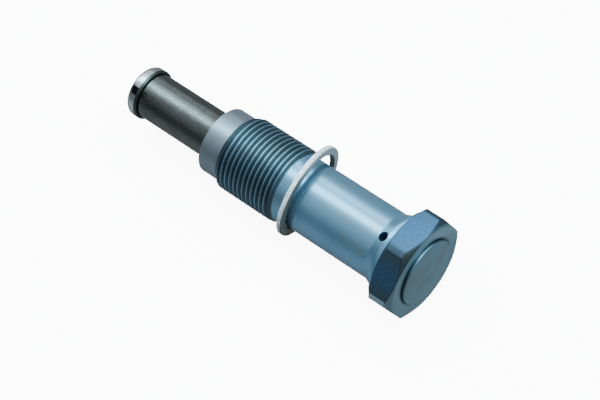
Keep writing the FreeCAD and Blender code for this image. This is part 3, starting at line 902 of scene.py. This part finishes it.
def cap_outline(sizes):
    """From the spigot's end on the axis over the cap's shoulder and rounding to the middle of its front."""
    return [
        (CAP_HIGH.x, 0.0, 0.0),
        (CAP_HIGH.x, sizes.sleeve_bore, 0.3 * MM),
        (sizes.cap_back, sizes.sleeve_bore, 0.0),
        (sizes.cap_back, sizes.sleeve_radius - 0.1 * MM, 0.0),
        (sizes.cap_back, sizes.cap_radius, sizes.cap_shoulder),
        (CAP_LOW.x, sizes.cap_radius, sizes.cap_rounding),
        (CAP_LOW.x, sizes.cap_radius * 0.5, 0.0),
        (CAP_LOW.x, 0.0, 0.0),
    ]


def wind_coil(low, high, mean_radius, wire_radius, turns):
    """Wind round wire between two planes square to X, with a closed turn at each end."""
    mesh = bmesh.new()
    sides, steps = 12, 32
    ring = bmesh.ops.create_circle(mesh, cap_ends=False, radius=wire_radius, segments=sides)["verts"]
    bmesh.ops.translate(mesh, verts=ring, vec=(low + wire_radius, mean_radius, 0.0))
    free = high - low - 2 * wire_radius
    closed = 2.1 * wire_radius
    lifts = [closed] + [(free - 2 * closed) / turns] * turns + [closed]
    section = ring + list({edge for vert in ring for edge in vert.link_edges})
    for lift in lifts:
        swept = bmesh.ops.spin(
            mesh,
            geom=section,
            cent=(0.0, 0.0, 0.0),
            axis=(1.0, 0.0, 0.0),
            dvec=(lift / steps, 0.0, 0.0),
            angle=math.tau,
            steps=steps,
            use_merge=False,
        )
        section = [item for item in swept["geom_last"] if not isinstance(item, bmesh.types.BMFace)]
    bmesh.ops.holes_fill(mesh, edges=mesh.edges[:], sides=sides)
    close_mesh(mesh)
    return mesh


class TENSIONER_OT_springs(bpy.types.Operator):
    """Wind the tension spring and the valve spring"""

    bl_idname = "tensioner.springs"
    bl_label = "Springs"

    def execute(self, context):
        sizes = context.scene.tensioner_plunger
        wire = drawn_wire(context.scene.tensioner_colours)
        for name, node, low, high, radius, gauge, turns, joint in (
            (
                "tension_coil",
                "tension_spring",
                SPRING_LOW.x,
                SPRING_HIGH.x,
                sizes.spring_mean_radius,
                sizes.spring_wire,
                sizes.spring_turns,
                "plunger_slide",
            ),
            (
                "valve_coil",
                "valve_spring",
                VALVE_SPRING_LOW.x,
                VALVE_SPRING_HIGH.x,
                sizes.valve_spring_radius,
                sizes.valve_spring_wire,
                sizes.valve_spring_turns,
                "check_ball_lift",
            ),
        ):
            mesh = wind_coil(low, high, radius, gauge, turns)
            piece = finished_piece(name, mesh, "housing", wire, [node], 60.0)
            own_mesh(piece)
        return {"FINISHED"}


class TENSIONER_OT_seal_ring(bpy.types.Operator):
    """Turn the seal ring and lean it on the shank"""

    bl_idname = "tensioner.seal_ring"
    bl_label = "Seal Ring"

    def execute(self, context):
        sizes = context.scene.tensioner_ring
        half = sizes.thickness / 2
        mesh = bmesh.new()
        outline = [
            (half, sizes.bore_radius + sizes.thickness, 0.0),
            (half, sizes.outer_radius, sizes.edge),
            (-half, sizes.outer_radius, sizes.edge),
            (-half, sizes.bore_radius, 0.06 * MM),
            (half, sizes.bore_radius, 0.06 * MM),
            (half, sizes.bore_radius + sizes.thickness, 0.0),
        ]
        spin_outline(mesh, rounded_outline(outline), HOUSING_STEPS)
        close_mesh(mesh)
        heading = sizes.lean_heading
        leaning_side = Vector((0.0, -math.cos(heading), math.sin(heading)))
        lean = Matrix.Rotation(sizes.lean, 4, leaning_side.cross(Vector((1.0, 0.0, 0.0))))
        middle = (Vector(RING_LOW) + Vector(RING_HIGH)) / 2
        mesh.transform(Matrix.Translation(middle) @ lean)
        axis = lean @ Vector((1.0, 0.0, 0.0))
        material = soft_aluminium(sizes, context.scene.tensioner_colours, middle, axis)
        finished_piece("soft_ring", mesh, "housing", material, ["seal_ring"])
        return {"FINISHED"}


class TENSIONER_OT_small_parts(bpy.types.Operator):
    """Give the inner pieces their finishes"""

    bl_idname = "tensioner.small_parts"
    bl_label = "Inner Pieces"

    def execute(self, context):
        colours = context.scene.tensioner_colours
        wire = bpy.data.materials.get("drawn_wire")
        bright = bright_steel(colours)
        finishes = {
            "stop_ring": wire,
            "valve_seat": bright,
            "check_ball": bright,
            "valve_cage": bright,
            "filler_pin": black_moulding(colours),
        }
        for node, material in finishes.items():
            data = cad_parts[node].data
            data.materials.clear()
            data.materials.append(material)
        return {"FINISHED"}


# Light round the part: degrees about the X axis, from -Y at 0 up towards +Z at 90, and how bright it is.
SOFT_BOXES = (
    (-180.0, 0.05),
    (-150.0, 0.05),
    (-128.0, 0.10),
    (-112.0, 0.08),
    (-95.0, 0.04),
    (-60.0, 0.07),
    (-35.0, 0.07),
    (-8.0, 0.030),
    (8.0, 0.025),
    (21.0, 0.043),
    (34.0, 0.07),
    (46.0, 0.095),
    (62.0, 0.12),
    (76.0, 0.30),
    (84.0, 1.0),
    (98.0, 1.0),
    (108.0, 0.34),
    (118.0, 0.55),
    (128.0, 0.46),
    (142.0, 0.13),
    (160.0, 0.06),
    (180.0, 0.05),
)


class TENSIONER_OT_stage(bpy.types.Operator):
    """Set up the floor, the lights and the camera"""

    bl_idname = "tensioner.stage"
    bl_label = "Floor, Lights and Camera"

    def execute(self, context):
        settings = context.scene.tensioner_stage
        colours = context.scene.tensioner_colours
        self.lay_floor(settings, colours)
        self.light_world(settings)
        black_span, grey_span = (-195.0 * MM, -105.0 * MM), (-170.0 * MM, -60.0 * MM)
        self.hang_card(settings, "black_card", 0.0, settings.black_heading, 24.0 * MM, black_span)
        self.hang_card(settings, "grey_card", settings.card_glow, settings.grey_heading, 20.0 * MM, grey_span)
        self.hang_fill(settings)
        self.place_camera(settings)
        return {"FINISHED"}

    def lay_floor(self, settings, colours):
        """A pale floor under the part, which doesn't show in the metal or light it."""
        mesh = bmesh.new()
        bmesh.ops.create_grid(mesh, x_segments=1, y_segments=1, size=4.0)
        height = CAD_BOX[0][2] - settings.floor_gap
        bmesh.ops.translate(mesh, verts=mesh.verts[:], vec=(0.0, 0.0, height))
        data = bpy.data.meshes.new("floor")
        mesh.to_mesh(data)
        mesh.free()
        finish = Finish("pale_floor", tuple(colours.floor), 0.7, 0.0)
        finish.surface.inputs["Emission Color"].default_value = (1.0, 1.0, 1.0, 1.0)
        finish.surface.inputs["Emission Strength"].default_value = settings.floor_glow
        data.materials.append(finish.material)
        floor = bpy.data.objects.new("floor", data)
        floor.visible_glossy = False
        floor.visible_diffuse = False
        bpy.context.scene.collection.objects.link(floor)

    def hang_fill(self, settings):
        """A wide light overhead that brightens dull surfaces and doesn't show in polished ones."""
        light = bpy.data.lights.new("fill", "AREA")
        light.size = 2.4
        light.energy = settings.fill_power
        lamp = bpy.data.objects.new("fill", light)
        lamp.location = (0.0, 0.0, 1.6)
        lamp.visible_glossy = False
        bpy.context.scene.collection.objects.link(lamp)

    def hang_card(self, settings, name, glow, heading, width, span):
        """A card beside the part, which only shows as a reflection in the metal near it."""
        first, last = span
        mesh = bmesh.new()
        bmesh.ops.create_grid(mesh, x_segments=1, y_segments=1, size=0.5)
        bmesh.ops.scale(mesh, verts=mesh.verts[:], vec=(last - first, width, 1.0))
        away = Vector((0.0, -math.cos(heading), math.sin(heading)))
        tilt = Matrix.Rotation(math.pi / 2 - heading, 4, "X")
        centre = away * settings.card_reach + Vector(((first + last) / 2, 0.0, 0.0))
        mesh.transform(Matrix.Translation(centre) @ tilt)
        data = bpy.data.meshes.new(name)
        mesh.to_mesh(data)
        mesh.free()
        finish = Finish(name, (0.004, 0.005, 0.012), 0.9, 0.0)
        finish.surface.inputs["Emission Color"].default_value = (0.93, 1.0, 1.05, 1.0)
        finish.surface.inputs["Emission Strength"].default_value = glow
        data.materials.append(finish.material)
        card = bpy.data.objects.new(name, data)
        card.visible_camera = False
        card.visible_diffuse = False
        card.visible_shadow = False
        bpy.context.scene.collection.objects.link(card)

    def light_world(self, settings):
        """Soft boxes as bands of light along the part, dimmer beyond its two ends."""
        world = bpy.data.worlds.new("studio")
        world.use_nodes = True
        graph = Graph(world.node_tree, "Generated")
        round_axis = graph.up.calculate("ARCTAN2", -1.0 * graph.across)
        turned = graph.node("ShaderNodeMapRange", {}, [round_axis, -math.pi, math.pi, 0.0, 1.0])
        stops = [((angle + 180.0) / 360.0, level) for angle, level in SOFT_BOXES]
        light = graph.ramp(turned, stops)
        far_right = graph.along.above(0.80, 0.2)
        far_left = (-1.0 * graph.along).above(0.84, 0.14)
        dim = 1.0 - 0.8 * far_right - 0.45 * far_left
        tint = graph.blend(light.above(0.3, 0.3), (0.95, 1.0, 1.05), (0.68, 0.93, 1.0))
        shown = graph.blend(1.0, tint, light, "MULTIPLY")
        shown = graph.blend(1.0, shown, dim, "MULTIPLY")
        background = world.node_tree.nodes["Background"]
        graph.feed(background.inputs["Color"], shown)
        background.inputs["Strength"].default_value = settings.sky_strength
        bpy.context.scene.world = world

    def place_camera(self, settings):
        """The camera on its sphere round the origin, shifted so that the part sits as in the photo."""
        azimuth, elevation = settings.azimuth, settings.elevation
        right = Vector((math.cos(azimuth), math.sin(azimuth), 0.0))
        towards = Vector(
            (
                math.sin(azimuth) * math.cos(elevation),
                -math.cos(azimuth) * math.cos(elevation),
                math.sin(elevation),
            )
        )
        up = towards.cross(right)
        rolled_right = right * math.cos(settings.roll) + up * math.sin(settings.roll)
        rolled_up = up * math.cos(settings.roll) - right * math.sin(settings.roll)
        place = towards * settings.distance - rolled_right * settings.aside + rolled_up * settings.below
        data = bpy.data.cameras.new("camera")
        data.lens = settings.lens
        data.clip_start = 0.01
        data.clip_end = 20.0
        camera = bpy.data.objects.new("camera", data)
        axes = Matrix((rolled_right, rolled_up, towards)).transposed().to_4x4()
        camera.matrix_world = Matrix.Translation(place) @ axes
        bpy.context.scene.collection.objects.link(camera)
        bpy.context.scene.camera = camera


class TENSIONER_PT_panel(bpy.types.Panel):
    """Lists the builders in the sidebar"""

    bl_idname = "TENSIONER_PT_panel"
    bl_label = "Chain Tensioner"
    bl_space_type = "VIEW_3D"
    bl_region_type = "UI"
    bl_category = "Tensioner"

    def draw(self, context):
        for operator in OPERATORS:
            self.layout.operator(operator.bl_idname)


SETTINGS = {
    "tensioner_housing": HousingSizes,
    "tensioner_plunger": PlungerSizes,
    "tensioner_ring": RingSizes,
    "tensioner_colours": FinishColours,
    "tensioner_stage": StageSettings,
}
OPERATORS = (
    TENSIONER_OT_housing,
    TENSIONER_OT_plunger,
    TENSIONER_OT_seal_ring,
    TENSIONER_OT_springs,
    TENSIONER_OT_small_parts,
    TENSIONER_OT_stage,
)


def register():
    """Add the settings, the builders and the panel to Blender."""
    for kind in (*SETTINGS.values(), *OPERATORS, TENSIONER_PT_panel):
        bpy.utils.register_class(kind)
    for name, kind in SETTINGS.items():
        setattr(bpy.types.Scene, name, bpy.props.PointerProperty(type=kind))


def unregister():
    """Take them out again."""
    for name in SETTINGS:
        delattr(bpy.types.Scene, name)
    for kind in reversed((*SETTINGS.values(), *OPERATORS, TENSIONER_PT_panel)):
        bpy.utils.unregister_class(kind)


def main():
    """Build every piece."""
    register()
    bpy.ops.tensioner.housing()
    bpy.ops.tensioner.plunger()
    bpy.ops.tensioner.seal_ring()
    bpy.ops.tensioner.springs()
    bpy.ops.tensioner.small_parts()
    bpy.ops.tensioner.stage()


if __name__ == "__main__":
    main()
